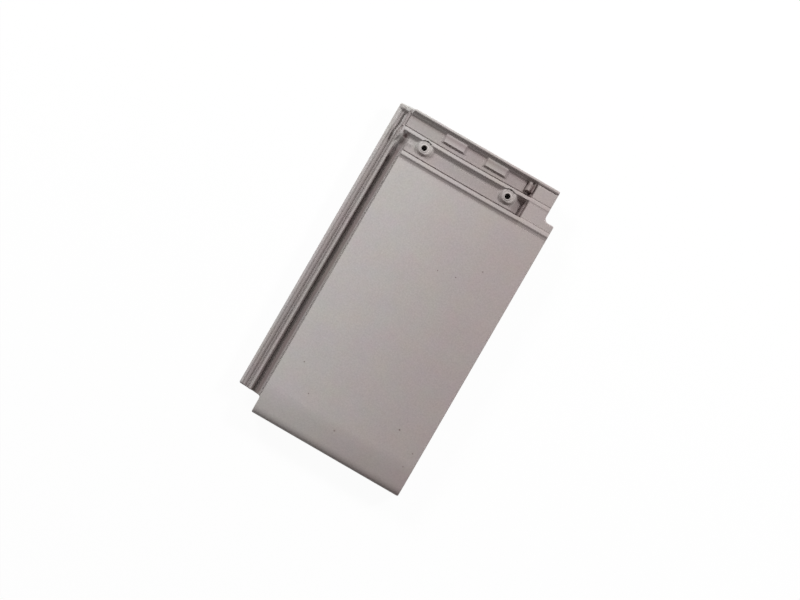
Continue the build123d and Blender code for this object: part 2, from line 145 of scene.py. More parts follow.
# Side lock: outer rib, ridge, groove, inner rib and the deep channel that carries the water
# down, each at its (across, height). Its lines run a little askew. Near the head they step to
# the right, and the inner rib's crown is wider.
lock_corners = [
    (0.0, 28.0), (3.4, 28.0), (4.6, 26.0), (5.7, 26.0), (6.6, 27.0), (8.1, 27.0), (9.6, 24.6),
    (11.6, 24.6), (12.4, 27.0), (13.6, 27.0), (14.4, 26.4), (15.6, 31.0), (19.0, 31.0),
    (20.2, 20.5), (21.8, 20.5), (31.3, 27.6), (32.1, 30.5), (40.0, 30.5),
]
lock_rounding = 0.7
lock_skew = 0.0036
lock_skew_middle = 230.0
lock_skew_shares = [(0.0, 0.3), (4.0, 1.0), (24.0, 1.0), (33.0, 0.0)]
lock_step = 1.6
lock_step_ends = (441.0, 452.0)
lock_step_fade = 7.0
lock_step_right = 22.0
crown_widening = 1.8
crown_sides = (17.0, 19.5)
crown_ends = (418.0, 434.0)


def place_in_section(across, along):
    """Place across in the side lock's section: the real place, less the skew, the crown's
    widening and the step."""
    skew = lock_skew * (along - lock_skew_middle) * polyline(across, lock_skew_shares)
    widening = crown_widening * climb(along, *crown_ends) * climb(across, *crown_sides)
    step_share = climb(along, *lock_step_ends) * np.clip(across / lock_step_fade, 0, 1)
    return across - skew - widening - lock_step * step_share * (across < lock_step_right)


# Front nose: the field bends down over its last 45 mm and rounds over to its front face.
nose_bend = 44.7
nose_round = 13.9
nose_fall = 3.4
nose_bend_power = 1.4
nose_face_top = 30.6
nose_curl_power = 3.2
nose_edge = 2.4
nose_edge_reach = 10.0


def nose_height(along):
    """Height of the field, which falls as a power of the distance past the bend, and curls over
    as a higher power of the distance past the place where its rounding starts."""
    fallen = np.clip((nose_bend - along) / (nose_bend - nose_round), 0, None)
    curled = np.clip((nose_round - along) / nose_round, 0, 1)
    end_fall = nose_fall * (nose_bend / (nose_bend - nose_round)) ** nose_bend_power
    curl = body_top - end_fall - nose_face_top
    return body_top - nose_fall * fallen**nose_bend_power - curl * curled**nose_curl_power


# Head lock. Across it, the height of the channels' floor, which is deeper at its right end.
# Along it, the share of the climb from that floor to the plate, the heights of the plate, the
# two ribs and the rim, and the fine crease at the front of each channel.
channel_floor = 34.5
upper_rib_top = 40.6
upper_rib_back = 453.2
pocket_right = 225.0
pocket_wall = 2.0
floor_corners = [
    (204.5, 34.5), (207.5, 33.2), (213.5, 29.0), (218.2, 27.5), (219.0, 27.5), (220.8, 34.0),
    (222.6, 34.0),
]
climb_corners = [
    (422.0, 1.0), (422.5, 0.0), (440.2, 0.0), (441.4, 0.03), (442.6, 0.16), (448.0, 1.0),
    (452.6, 1.0), (453.1, 0.0), (470.4, 0.0), (471.4, 0.06), (473.0, 0.34), (475.0, 0.66),
    (477.0, 0.87), (479.0, 1.0),
]
level_corners = [
    (410.3, 40.0), (412.0, 40.15), (413.6, 40.6), (415.2, 41.4), (417.0, 43.0), (422.0, 41.8),
    (422.6, 40.0), (447.0, 40.0), (448.0, 40.6), (452.6, 39.8), (453.2, 40.0), (475.0, 40.0),
    (479.2, 43.0), (482.0, 42.4),
]
crease_corners = [
    (422.0, 0.0), (422.5, 1.0), (423.5, 0.0), (452.6, 0.0), (453.1, 1.0), (454.1, 0.0),
]
crease_depth = 2.4
plate_left = 224.5
plate_crease_share = 0.35
plate_line_along = 475.9
plate_line_depth = 0.8
plate_line_width = 2.0
head_rounding = 0.8
wall_rounding = 0.6
crease_rounding = 0.5
wall_slope = 6.0

# Drying has bowed the two ribs and the channels up the tile, by these amounts along it.
bow_corners = [(409.0, 0.0), (418.0, 0.8), (424.0, 0.9), (448.0, 1.6), (457.0, 1.6), (468.0, 0.0)]
bow_middle = 108.0
bow_half = 105.0
bow_limit = 1.3

# Nail bosses: a flared mound just under the upper rib's top, with a raised collar, in a gap
# that is cut into the rib round it.
boss_top = 39.4
boss_reach = 11.4
boss_shift_across = 1.0
boss_shift_along = 1.5
boss_slope = 1.9
boss_gap_radius = 10.2
boss_gap_front = 430.0
boss_front_edge = 7.2
boss_front_slope = 4.4
boss_back = 448.0
collar_radius = 5.6
collar_stand = 0.9
collar_slope = 0.7

# Pads over the nibs, highest along their front edge, and the small pad in the deep end, each
# with its left and right end and its height. The small one has a groove.
pad_spans = ((76.5, 112.9, 3.8), (143.0, 179.4, 3.8), (210.6, 223.2, 3.6))
pad_front = 459.9
pad_side = 3.2
pad_front_slope = 2.1
pad_tilt = 0.09
pad_groove = 218.2
pad_groove_depth = 4.0
pad_groove_width = 4.4
pad_groove_floor = 0.3


def bow(across, along):
    """How far drying has bowed the ribs up the tile: a parabola across, fading out along."""
    share = (across - bow_middle) / bow_half
    return polyline(along, bow_corners) * np.minimum(share**2, bow_limit)


def sunk_share(across, along):
    """Share by which a place in the head is sunk into a channel: its walls' climbs along and
    across are joined as the sides of a right-angled triangle, which rounds the corners."""
    climb_along = rounded(along - bow(across, along), climb_corners, wall_rounding)
    climb_across = climb(across, pocket_right - pocket_wall, pocket_right)
    return 1 - np.minimum(np.hypot(climb_along, climb_across), 1)


def with_boss(height, floor, across, along, middle):
    """The head with one nail boss: its gap in the rib has a steep round wall, and the mound
    climbs from the floor over its distance, is held back in front, and carries the collar."""
    away = from_nail(across, along, middle)
    gap = channel_floor + wall_slope * np.maximum(away - boss_gap_radius, 0)
    gapped = np.minimum(height, np.maximum(gap, floor))
    height = np.where(along > boss_gap_front, gapped, height)

    shifted_away = from_nail(across - boss_shift_across, along - boss_shift_along, middle)
    rise = climb(shifted_away, boss_reach + boss_slope, boss_reach - boss_slope)
    front = nail_along - boss_front_edge
    rise = np.minimum(rise, climb(along, front - boss_front_slope, front))
    mound = floor + (boss_top - floor) * rise
    mound += collar_stand * climb(away, collar_radius + collar_slope, collar_radius - collar_slope)
    on_mound = (rise > 0) & ((along < boss_back) | (away < boss_gap_radius))
    return np.maximum(height, mound * on_mound)


def pad_height(across, along):
    """Height of the pads: the lowest of a tilted top and slopes on the front and both ends."""
    height = np.zeros_like(across)
    for left, right, stand in pad_spans:
        top = stand - pad_tilt * (along - pad_front - pad_front_slope)
        front = (along - pad_front) * stand / pad_front_slope
        ends = np.minimum(across - left, right - across) * stand / pad_side
        rise = np.minimum(np.minimum(ends, front), top)
        if right > pad_groove:
            groove = pad_groove_depth * bump_line(across, pad_groove, pad_groove_width)
            rise = np.maximum(rise - groove, pad_groove_floor * rise)
        height = np.maximum(height, np.where(rise > 0, channel_floor + rise, 0.0))
    return height


def head_height(across, along):
    """Height of the head lock: the plate, ribs and rim, sunk to the floor in the channels, less
    the creases, with the bosses and the pads on it."""
    floor = rounded(across, floor_corners, head_rounding)
    straight = along - bow(across, along)
    level = rounded(straight, level_corners, head_rounding)
    height = level - (level - floor) * sunk_share(across, along)
    on_plate = across >= plate_left
    crease = crease_depth * rounded(straight, crease_corners, crease_rounding)
    height -= crease * np.where(on_plate, plate_crease_share, 1)
    height -= plate_line_depth * bump_line(along, plate_line_along, plate_line_width) * on_plate
    for middle in nail_middles:
        height = with_boss(height, floor, across, along, middle)
    return np.maximum(height, pad_height(across, along))


# Left ends of the head lock. The rim's is slanted, the upper rib's front slopes on down past the
# floor, and the lower channel opens over a landing and a ramp into the water channel.
end_slope = 7.0
rib_foot_across = 20.2
head_lock_front = 413.0
upper_rib_front = 441.6
upper_rib_front_slope = 1.1
rim_front = 472.9
rim_slant = 2.8
rim_slant_length = 9.1
landing_height = 33.5
landing_left = 18.9
landing_back = 447.0
ramp_corners = [(412.0, 0.0), (416.0, 0.03), (428.0, 0.42), (440.4, 1.0)]
ramp_rounding = 4.0

# The upper channel closes on a low ridge and a fine seam.
ridge_corners = [(15.0, 24.0), (17.6, 35.8), (19.6, 35.8), (20.4, 34.0)]
ridge_right = 20.6
ridge_front = 452.5
ridge_back = 474.0
seam_across = 20.8
seam_width = 1.4
seam_depth = 1.3
seam_ends = (455.0, 456.5, 469.0, 471.0)

# Slanted join, by which the lock's inner rib climbs to the upper rib's left end, and the bar
# that closes the lock at its head corner.
join_start = 426.0
join_finish = 443.0
join_left = 18.3
join_right = 21.2
join_half_width = 1.6
join_foot = 31.0
bar_corners = [(466.4, 23.5), (474.4, 30.5), (482.0, 30.5)]
bar_right = 21.2
bar_edge = 3.4
bar_edge_slope = 3.0

# Small forms: a hollow where the channel drains, and two low raised lines beside it, which lean.
drain_middle = (28.6, 441.6)
drain_depth = 1.0
drain_rim = 4.2
drain_bottom = 0.8
low_line_middles = (36.6, 40.4)
low_line_along = 434.0
low_line_height = 1.5
low_line_width = 2.2
low_line_length = 9.0
low_line_lean = 0.15


def with_left_ends(lock, field, head, across, along):
    """The three parts in one: right of the lock the field or the head, and on the lock the
    highest of it, the landing, the upper rib's front and the head's slopes past its left ends."""
    rim_left = rib_foot_across + rim_slant * np.clip((along - rim_front) / rim_slant_length, 0, 1)
    left_edge = np.where(along > upper_rib_front, rim_left, lock_width)
    right_part = np.where(along > head_lock_front, head, field)
    right_part -= end_slope * np.maximum(0, left_edge - across)

    rib_front = channel_floor + (along - upper_rib_front) * upper_rib_front_slope
    rib_front = np.where(along > upper_rib_front, 0.0, rib_front)
    rib_front -= end_slope * np.maximum(0, rib_foot_across - across)
    rib_front = np.where(across < lock_width, rib_front, 0.0)

    ramp_share = rounded(along, ramp_corners, ramp_rounding)
    landing = lock + (landing_height - lock) * ramp_share
    landing -= wall_slope * np.maximum(0, landing_left - across)
    landing = np.where((along < landing_back) & (ramp_share > 0), landing, 0.0)
    left_part = np.maximum(np.maximum(lock, landing), rib_front)
    return np.where(across > lock_width, right_part, np.maximum(left_part, right_part))


def join_height(across, along):
    """Height of the slanted join: level over its width and steep beside it, with a middle that
    moves to the right and a top that climbs as the join goes up the tile."""
    share = climb(along, join_start, join_finish)
    middle = join_left + (join_right - join_left) * share
    top = join_foot + (upper_rib_top - join_foot) * share
    join = top - wall_slope * np.maximum(0, np.abs(across - middle) - join_half_width)
    return np.where((along > join_start) & (along < upper_rib_back), join, 0.0)


def bar_height(across, along):
    """Height of the bar at the head corner: it climbs along, and falls at its left edge."""
    bar = rounded(along, bar_corners, head_rounding)
    bar = np.where(across < bar_right, bar, 0.0)
    return bar - bar_edge_slope * np.maximum(0, bar_edge - across)


def top_height(across, along):
    """Height of the tile's upper face: the highest of its parts, with the low lines added and
    the drain's hollow and the seam taken off, less the fall of every edge."""
    lock = rounded(place_in_section(across, along), lock_corners, lock_rounding)
    head = head_height(across, along)
    height = with_left_ends(lock, nose_height(along), head, across, along)

    drain_away = np.hypot(across - drain_middle[0], along - drain_middle[1])
    height -= drain_depth * climb(drain_away, drain_rim, drain_bottom)
    leaning = across - low_line_lean * (along - low_line_along)
    line_share = bump_line(along, low_line_along, low_line_length)
    for middle in low_line_middles:
        height += low_line_height * bump_line(leaning, middle, low_line_width) * line_share

    ridge = rounded(across, ridge_corners, wall_rounding)
    on_ridge = (along > ridge_front) & (along < ridge_back) & (across < ridge_right)
    height = np.where(on_ridge, np.maximum(height, ridge), height)
    height -= seam_depth * bump_line(across, seam_across, seam_width) * span(along, *seam_ends)
    height = np.maximum(height, join_height(across, along))
    height = np.maximum(height, bar_height(across, along))

    inside = -plan_distance(across, along)
    at_nose = (along < nose_edge_reach) & (across > lock_width)
    height -= np.where(at_nose, edge_fall(inside, nose_edge), edge_fall(inside, press_edge))
    for middle in nail_middles:
        height -= edge_fall(from_nail(across, along, middle) - hole_radius, nail_edge)
    return height


# Underside: webs, lock hooks, foot ribs that drop into the head lock of the tile below,
# stiffening ribs, a thicker right end under the deep channels, and two nibs that hang on the
# batten. A foot rib is given by its front, its back and whether it has gaps for the bosses.
plate_under = 27.5
web_under = 12.0
web_left = 42.0
web_right = 225.7
under_corners = [
    (0.0, 16.5), (14.0, 16.5), (16.5, web_under), (web_left, web_under), (45.5, plate_under),
    (222.2, plate_under), (web_right, web_under), (236.7, web_under), (237.9, 31.0),
    (246.8, 31.0), (248.0, 27.5), (250.6, 27.5), (251.8, 32.5), (259.9, 32.5), (261.1, 27.0),
    (265.7, 27.0), (266.9, 32.0), (tile_width, 32.0),
]
under_rounding = 1.4
nose_foot_corners = [(0.0, 8.0), (11.0, 8.0), (14.0, 40.0)]
foot_rounding = 1.0
foot_ribs = ((26.0, 33.5, True), (53.0, 58.0, False))
foot_rib_under = 4.0
foot_rib_slope = 1.5
foot_rib_ends = (39.0, 40.0, 227.7, 228.7)
boss_gap = 32.0
boss_gap_slope = 1.2
rib_rounding = 1.6
head_web = (402.2, 410.2)
head_web_slope = 3.5
inner_left = web_left - 1.0
inner_right = web_right + 1.0
stiffener_half = 4.0
stiffener_slope = 2.2
stiffener_under = 20.5
stiffener_ends = (55.0, 57.0, 406.0, 408.0)
thickening = 7.0
thickening_side = (199.0, 202.0)
thickening_ends = (409.0, 410.0, 472.9, 474.4)
nib_spans = ((79.0, 110.4), (145.5, 176.9))
nib_front = 456.5
nib_front_slope = 0.5
nib_back = 474.0
nib_taper = 4.0

# The stiffening ribs stand at equal steps between the side webs, and between the second foot
# rib and the head's web.
foot_rib_back = foot_ribs[-1][1]
stiffener_across = np.linspace(web_left, web_right, 5)[1:-1].round(3)
stiffener_along = np.linspace(foot_rib_back, head_web[0], 4)[1:-1].round(2)


def hanging_rib(value, front, back, slope, low, high):
    """Height of a rib that hangs down: low between front and back, rising to high past them."""
    corners = [(front - slope, high), (front, low), (back, low), (back + slope, high)]
    return rounded(value, corners, rib_rounding)


def stiffener(value, middle):
    """Height of a stiffening rib about its middle."""
    front, back = middle - stiffener_half, middle + stiffener_half
    return hanging_rib(value, front, back, stiffener_slope, stiffener_under, plate_under)


def nib_height(across, along, left, right):
    """Height of a nib: the higher of its two profiles, which taper across and behind it."""
    ends = hanging_rib(across, left + nib_taper, right - nib_taper, nib_taper, 0.0, plate_under)
    corners = [
        (nib_front - nib_front_slope, plate_under), (nib_front, 0.0), (nib_back - nib_taper, 0.0),
        (nib_back, plate_under),
    ]
    return np.maximum(ends, rounded(along, corners, foot_rounding))


def under_height(across, along):
    """Height of the tile's lower face: the lowest of its plate, webs, hooks, ribs and nibs."""
    height = rounded(across, under_corners, under_rounding)
    nose_foot = rounded(along, nose_foot_corners, foot_rounding)
    height = np.where(across > lock_width, np.minimum(height, nose_foot), height)

    for front, back, gapped in foot_ribs:
        share = span(across, *foot_rib_ends)
        if gapped:
            gap_start, gap_finish = (boss_gap - boss_gap_slope) / 2, (boss_gap + boss_gap_slope) / 2
            for middle in nail_middles:
                share *= climb(np.abs(across - middle), gap_start, gap_finish)
        rib = hanging_rib(along, front, back, foot_rib_slope, foot_rib_under, plate_under)
        height = np.minimum(height, plate_under + (rib - plate_under) * share)

    reach = span(along, *stiffener_ends)
    for middle in stiffener_across:
        rib = stiffener(across, middle)
        height = np.minimum(height, plate_under + (rib - plate_under) * reach)
    inner = (across > inner_left) & (across < inner_right)
    for middle in stiffener_along:
        height = np.where(inner, np.minimum(height, stiffener(along, middle)), height)
    web = hanging_rib(along, *head_web, head_web_slope, web_under, plate_under)
    thick = plate_under - thickening * climb(across, *thickening_side) * span(along, *thickening_ends)
    height = np.where(inner, np.minimum(height, np.minimum(web, thick)), height)

    for left, right in nib_spans:
        height = np.minimum(height, nib_height(across, along, left, right))
    return height + edge_fall(-plan_distance(across, along), press_edge)


# Painted shade: the colour is darkened where shade and shadow fall, in recesses, creases and the
# shadows of the ribs and rim, as a share at each place: across the side lock, along the head lock,
# across its deep right ends, and across the ramp.
painted_lock_shade = [
    (0.0, 0.1), (3.5, 0.1), (5.0, 0.5), (9.0, 0.5), (10.5, 0.65), (13.5, 0.25), (14.5, 0.6),
    (15.5, 0.4), (18.5, 0.25), (20.0, 0.8), (21.5, 0.7), (22.8, 0.0), (25.2, 0.0), (26.5, 0.75),
    (30.0, 0.85), (32.0, 0.2), (33.0, 0.4), (34.3, 0.3), (35.3, 0.0),
]
painted_head_shade = [
    (409.5, 0.0), (411.5, 0.3), (416.2, 0.36), (417.5, 0.18), (421.8, 0.18), (422.3, 0.5),
    (423.4, 0.5), (424.5, 0.3), (440.0, 0.3), (442.0, 0.25), (447.0, 0.12), (449.0, 0.1),
    (452.4, 0.1), (453.0, 0.35), (454.4, 0.35), (456.0, 0.36), (466.0, 0.36), (470.0, 0.64),
    (472.0, 0.45), (474.5, 0.0), (479.5, 0.0), (480.6, 0.1), (482.0, 0.1),
]
painted_end_shade = [
    (204.0, 0.0), (207.5, 0.4), (213.0, 0.5), (216.0, 0.35), (217.5, 0.6), (218.8, 0.8),
    (220.4, 0.7), (221.6, 0.35), (223.0, 0.85), (224.4, 0.8), (225.6, 0.4), (227.0, 0.0),
]
painted_upper_end_shade = [
    (211.0, 0.0), (215.0, 0.5), (217.0, 1.2), (220.5, 1.3), (222.0, 0.6), (224.4, 0.7),
    (226.0, 1.0),
]
upper_end_front = 453.0
painted_ramp_shade = [
    (19.0, 0.2), (24.5, 0.1), (26.5, 0.5), (28.5, 0.7), (31.5, 0.55), (33.0, 0.4), (35.3, 0.3),
    (37.0, 0.0),
]
ramp_shade_left = 19.0
ramp_shade_ends = (414.0, 430.0, 443.0, 447.5)
painted_plate_shade = 0.08

# Where the painted shade is darkest or left out: round the small pad, on what stands up, round the
# bosses, in the groove near the head, at the drain and in front of the corner bar.
small_pad_sides = (210.6, 212.4, 221.6, 223.4)
small_pad_foot = (459.2, 460.0, 460.8, 461.6)
painted_crease_shade = (452.6, 453.1, 454.0, 454.6)
standing_heights = (channel_floor + 3.2, channel_floor + 4.2)
standing_light = 0.95
least_sunk = 0.4
boss_lit_side = (nail_along - 8.0, nail_along - 5.0)
boss_lit_radii = (7.2, 6.2)
boss_foot_radii = (14.4, 13.4)
groove_sides = (8.0, 9.0, 12.5, 13.5)
groove_light_ends = (432.0, 440.0)
groove_light = 0.9
drain_shade_radii = (5.6, 1.5)
bar_shade = 0.5
bar_shade_ends = (466.0, 469.5, 472.0, 475.6)
bar_shade_side = (2.0, 8.0)
lock_head_light = (479.0, 476.0)


def painted_shade_in_head(across, along, height):
    """Share of the painted shade in the head lock: the darkest of that along it and that across its
    deep ends, little on the right plate, and almost none on what stands up."""
    straight = along - bow(across, along)
    low_along = 1 - rounded(straight, climb_corners, wall_rounding)
    right_end = polyline(across, painted_end_shade) * low_along
    right_end *= np.where(along > upper_end_front, polyline(across, painted_upper_end_shade), 1.0)
    shade = np.maximum(polyline(straight, painted_head_shade), np.minimum(right_end, 1.0))
    on_plate = np.minimum(shade, np.maximum(right_end, painted_plate_shade))
    shade = np.where(across > pocket_right, on_plate, shade)
    round_pad = np.maximum(span(along, *small_pad_foot), span(straight, *painted_crease_shade))
    shade = np.maximum(shade, span(across, *small_pad_sides) * round_pad)

    stands_up = climb(height, *standing_heights) * (low_along > least_sunk)
    for middle in nail_middles:
        away = from_nail(across, along, middle)
        light = np.maximum(climb(away, *boss_lit_radii), climb(along, *boss_lit_side))
        on_boss = climb(away, *boss_foot_radii) * low_along
        stands_up = stands_up * (1 - on_boss) + light * on_boss
    return shade * (1 - standing_light * stands_up)


def painted_shade_in_lock(across, along):
    """Share of the painted shade in the side lock: that across it, with a lighter groove near the
    head.
    """
    in_section = place_in_section(across, along)
    light = groove_light * span(in_section, *groove_sides) * climb(along, *groove_light_ends)
    return polyline(in_section, painted_lock_shade) * (1 - light)


def painted_recess_shade(across, along, height):
    """Share of the painted shade at each place of the upper face: the side lock's, which fades to the
    ramp's where the lower channel opens into it, and right of the lock the head's."""
    ramp = polyline(across, painted_ramp_shade)
    ramp_share = span(along, *ramp_shade_ends)
    side = painted_shade_in_lock(across, along)
    side = side + (ramp - side) * ramp_share * (across > ramp_shade_left)
    drain_away = np.hypot(across - drain_middle[0], along - drain_middle[1])
    side = np.maximum(side, climb(drain_away, *drain_shade_radii))
    bar_front = bar_shade * span(along, *bar_shade_ends) * climb(across, *bar_shade_side)
    side = np.maximum(side, bar_front) * climb(along, *lock_head_light)

    past_ramp = along > ramp_shade_ends[-1]
    on_side = np.where(past_ramp, across < ridge_right, across < lock_width)
    ramp_edge = ramp * ramp_share * (across >= lock_width)
    head = painted_shade_in_head(across, along, height)
    return np.where(on_side, side, np.maximum(head, ramp_edge))


# Grid of the two faces. Its lines lie close together where the section bends and wide apart
# where it is flat, so that the tile stays under 200,000 triangles.
edge_steps = np.array([0.0, 0.1, 0.35, 0.75, 1.4])


def lines(*stretches):
    """Grid lines from stretches of (start, finish, spacing), each divided evenly."""
    places = [np.linspace(a, b, max(2, round((b - a) / gap) + 1)) for a, b, gap in stretches]
    return np.concatenate(places)


def merged(*groups):
    """All groups of grid lines in order, with those less than a micron apart as one."""
    return np.unique(np.round(np.concatenate(groups), 3))


grid_across = merged(
    edge_steps, lock_width + edge_steps, head_right - edge_steps, tile_width - edge_steps,
    lines(
        (1.4, 20.0, 0.52), (20.0, 35.3, 0.7), (36.7, 42.0, 1.2), (42.0, 45.5, 0.9),
        (45.5, 48.5, 1.5), (48.5, 54.0, 1.1), (54.0, 66.5, 0.7), (66.5, 74.0, 1.1),
        (76.5, 79.7, 0.8), (79.7, 81.7, 2.0), (81.7, 84.0, 0.8), (84.0, 92.0, 4.0),
        (92.0, 94.2, 0.8), (94.2, 109.7, 5.0), (109.7, 113.0, 0.8), (113.0, 127.6, 5.0),
        (127.6, 130.0, 0.8), (130.0, 137.8, 4.0), (137.8, 140.1, 0.8), (143.0, 146.2, 0.8),
        (146.2, 173.6, 5.5), (173.6, 176.0, 0.8), (176.0, 179.4, 0.8), (179.4, 183.7, 2.1),
        (183.7, 188.0, 1.1), (188.0, 201.0, 0.7), (201.0, 217.0, 0.95), (217.0, 226.0, 0.5),
        (226.0, 236.7, 3.5), (236.7, 237.9, 0.4), (237.9, 246.5, 4.0), (246.5, 252.1, 0.6),
        (252.1, 254.3, 1.1), (255.7, 263.0, 1.1), (263.0, 266.9, 0.8), (266.9, 270.6, 1.2),
    ),
)
grid_along = merged(
    edge_steps, lock_setback + edge_steps, flange_head - edge_steps, tile_length - edge_steps,
    lines(
        (1.4, 5.0, 0.8), (5.0, 11.0, 1.2), (11.0, 14.0, 0.75), (14.0, 24.5, 2.1),
        (24.5, 26.1, 0.8), (27.5, 31.0, 1.1), (31.0, 35.0, 0.75), (35.0, 51.5, 3.6),
        (51.5, 53.0, 0.75), (53.0, 58.0, 2.5), (58.0, 59.5, 0.75), (59.5, 166.5, 15.0),
        (166.5, 168.8, 0.8), (168.8, 176.7, 4.0), (176.7, 179.0, 0.8), (179.0, 281.2, 15.0),
        (281.2, 283.6, 0.8), (283.6, 291.4, 4.0), (291.4, 293.7, 0.8), (293.7, 398.7, 14.0),
        (398.7, 402.2, 0.9), (402.2, 410.0, 2.6), (410.0, 421.5, 0.75), (421.5, 425.0, 0.35),
        (425.0, 428.0, 1.0), (428.0, 434.1, 0.8), (435.5, 451.5, 0.8), (451.5, 457.2, 0.4),
        (457.2, 459.7, 0.8), (459.7, 462.5, 0.4), (462.5, 469.0, 1.6), (469.0, 480.6, 0.7),
    ),
)

across, along = np.meshgrid(grid_across, grid_along, indexing="ij")
columns, rows = across.shape
middle_across = (across[:-1, :-1] + across[1:, 1:]) / 2
middle_along = (along[:-1, :-1] + along[1:, 1:]) / 2
clay = outline_distance(middle_across, middle_along) < 0
number = np.arange(columns * rows).reshape(columns, rows)
front_left, front_right = number[:-1, :-1], number[1:, :-1]
back_right, back_left = number[1:, 1:], number[:-1, 1:]
walled = np.pad(clay, 1)
open_front, open_back = ~walled[1:-1, :-2], ~walled[1:-1, 2:]
open_left, open_right = ~walled[:-2, 1:-1], ~walled[2:, 1:-1]
rim_edges = np.concatenate([
    np.stack([front_left, front_right], -1)[clay & open_front],
    np.stack([front_right, back_right], -1)[clay & open_right],
    np.stack([back_right, back_left], -1)[clay & open_back],
    np.stack([back_left, front_left], -1)[clay & open_left],
])

# The grid's rim is drawn onto the outline: in a few rounds, each of its points moves down the
# distance's slope, which is measured over a short step and never taken as flatter than this.
snap_rounds = 4
snap_step = 0.01
least_steepness = 0.25
on_rim = np.unique(rim_edges)
flat_across, flat_along = across.ravel(), along.ravel()
for _ in range(snap_rounds):
    a, b = flat_across[on_rim], flat_along[on_rim]
    distance = outline_distance(a, b)
    rise_across = outline_distance(a + snap_step, b) - outline_distance(a - snap_step, b)
    rise_along = outline_distance(a, b + snap_step) - outline_distance(a, b - snap_step)
    slope_across = rise_across / (2 * snap_step)
    slope_along = rise_along / (2 * snap_step)
    steepness = np.maximum(slope_across**2 + slope_along**2, least_steepness)
    flat_across[on_rim] = a - distance * slope_across / steepness
    flat_along[on_rim] = b - distance * slope_along / steepness

# The upper face, the lower face turned over, and the wall between their rims.
count = columns * rows
top_faces = np.stack([front_left, front_right, back_right, back_left], -1)[clay]
under_faces = top_faces[:, ::-1] + count
wall_faces = np.stack([
    rim_edges[:, 1], rim_edges[:, 0], rim_edges[:, 0] + count, rim_edges[:, 1] + count,
], -1)
top = top_height(flat_across, flat_along)
under = under_height(flat_across, flat_along)
places = np.stack([
    np.tile(flat_across, 2), np.tile(flat_along, 2), np.concatenate([top, under]),
], -1)
used, faces = np.unique(np.concatenate([top_faces, under_faces, wall_faces]), return_inverse=True)
faces = faces.reshape(-1, 4)
# Painted shade of each place on the upper face; the lower face has none.
top_shade = painted_recess_shade(flat_across, flat_along, top)
painted_shade_share = np.concatenate([top_shade, np.zeros(count)])[used]
places = (places[used] - (tile_width / 2, tile_length / 2, 0.0)) / 1000

tile_mesh = bpy.data.meshes.new("tile_body")
tile_mesh.vertices.add(len(places))
tile_mesh.vertices.foreach_set("co", places.ravel())
tile_mesh.loops.add(faces.size)
tile_mesh.loops.foreach_set("vertex_index", faces.ravel().astype(np.int32))
tile_mesh.polygons.add(len(faces))
tile_mesh.polygons.foreach_set("loop_start", np.arange(0, faces.size, 4, dtype=np.int32))
tile_mesh.polygons.foreach_set("use_smooth", np.ones(len(faces), bool))
tile_mesh.update(calc_edges=True)
tile_mesh.validate()
painted_shade_layer = tile_mesh.attributes.new("painted_shade", "FLOAT", "POINT")
painted_shade_layer.data.foreach_set("value", painted_shade_share.astype(np.float32))
tile = bpy.data.objects.new("tile_body", tile_mesh)
bpy.context.scene.collection.objects.link(tile)
tile_mesh.set_sharp_from_angle(angle=math.radians(60.0))
weighted = tile.modifiers.new("shading", "WEIGHTED_NORMAL")
weighted.mode = "FACE_AREA"
weighted.keep_sharp = True

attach(tile, "root")
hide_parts("roof_tile")


# Engobe: a matt grey slip fired onto the clay. It gives a warm grey with a painted fall of light that
# makes it lighter on the left and darker on the right, soft clouds from dipping, a fine grain, and a
# few open pinholes where gas left the body.
# Lighter and darker ends of the painted fall of light, and the tint of the painted shade.
painted_lighter_left = "#B4B0AE"
painted_darker_right = "#A19795"
painted_shade_tint = "#A39292"
falloff_reach = 160.0

# Widths of the patterns. The slip's real grain is under half a millimetre, too fine to show
# here, so its specks and its roughness are drawn about 2 mm wide.
cloud_width = 35.0
speck_width = 2.2
grain_width = 1.6
grain_height = 0.15
swell_width = 50.0
swell_height = 0.6

# The widest pinholes, each at its (across, along) with its width.
pinholes = (
    (149.4, 35.3, 2.3), (227.5, 82.1, 2.0), (64.7, 97.8, 1.6), (260.1, 62.2, 1.5),
    (92.0, 62.3, 1.5), (217.5, 331.2, 1.6), (188.6, 305.6, 1.5), (161.9, 301.4, 1.5),
    (257.6, 39.9, 1.5),
)


def linear(colour):
    """Turn an sRGB hex colour into linear red, green, blue and alpha."""
    channels = np.array([int(colour[at:at + 2], 16) for at in (1, 3, 5)]) / 255
    low = channels / 12.92
    high = ((channels + 0.055) / 1.055) ** 2.4
    return (*np.where(channels <= 0.04045, low, high).tolist(), 1.0)


def add_node(tree, kind, settings=None, inputs=None):
    """Add a node, set its properties, and link or set each of its inputs."""
    node = tree.nodes.new(kind)
    for name, value in (settings or {}).items():
        setattr(node, name, value)
    for name, value in (inputs or {}).items():
        socket = node.inputs[name]
        if isinstance(value, bpy.types.NodeSocket):
            tree.links.new(value, socket)
        else:
            socket.default_value = value
    return node


engobe = bpy.data.materials.new("fired_grey_engobe")
engobe.use_nodes = True
tree = engobe.node_tree
tree.nodes.clear()
place = add_node(tree, "ShaderNodeTexCoord").outputs["Object"]

axes = add_node(tree, "ShaderNodeSeparateXYZ", None, {"Vector": place}).outputs
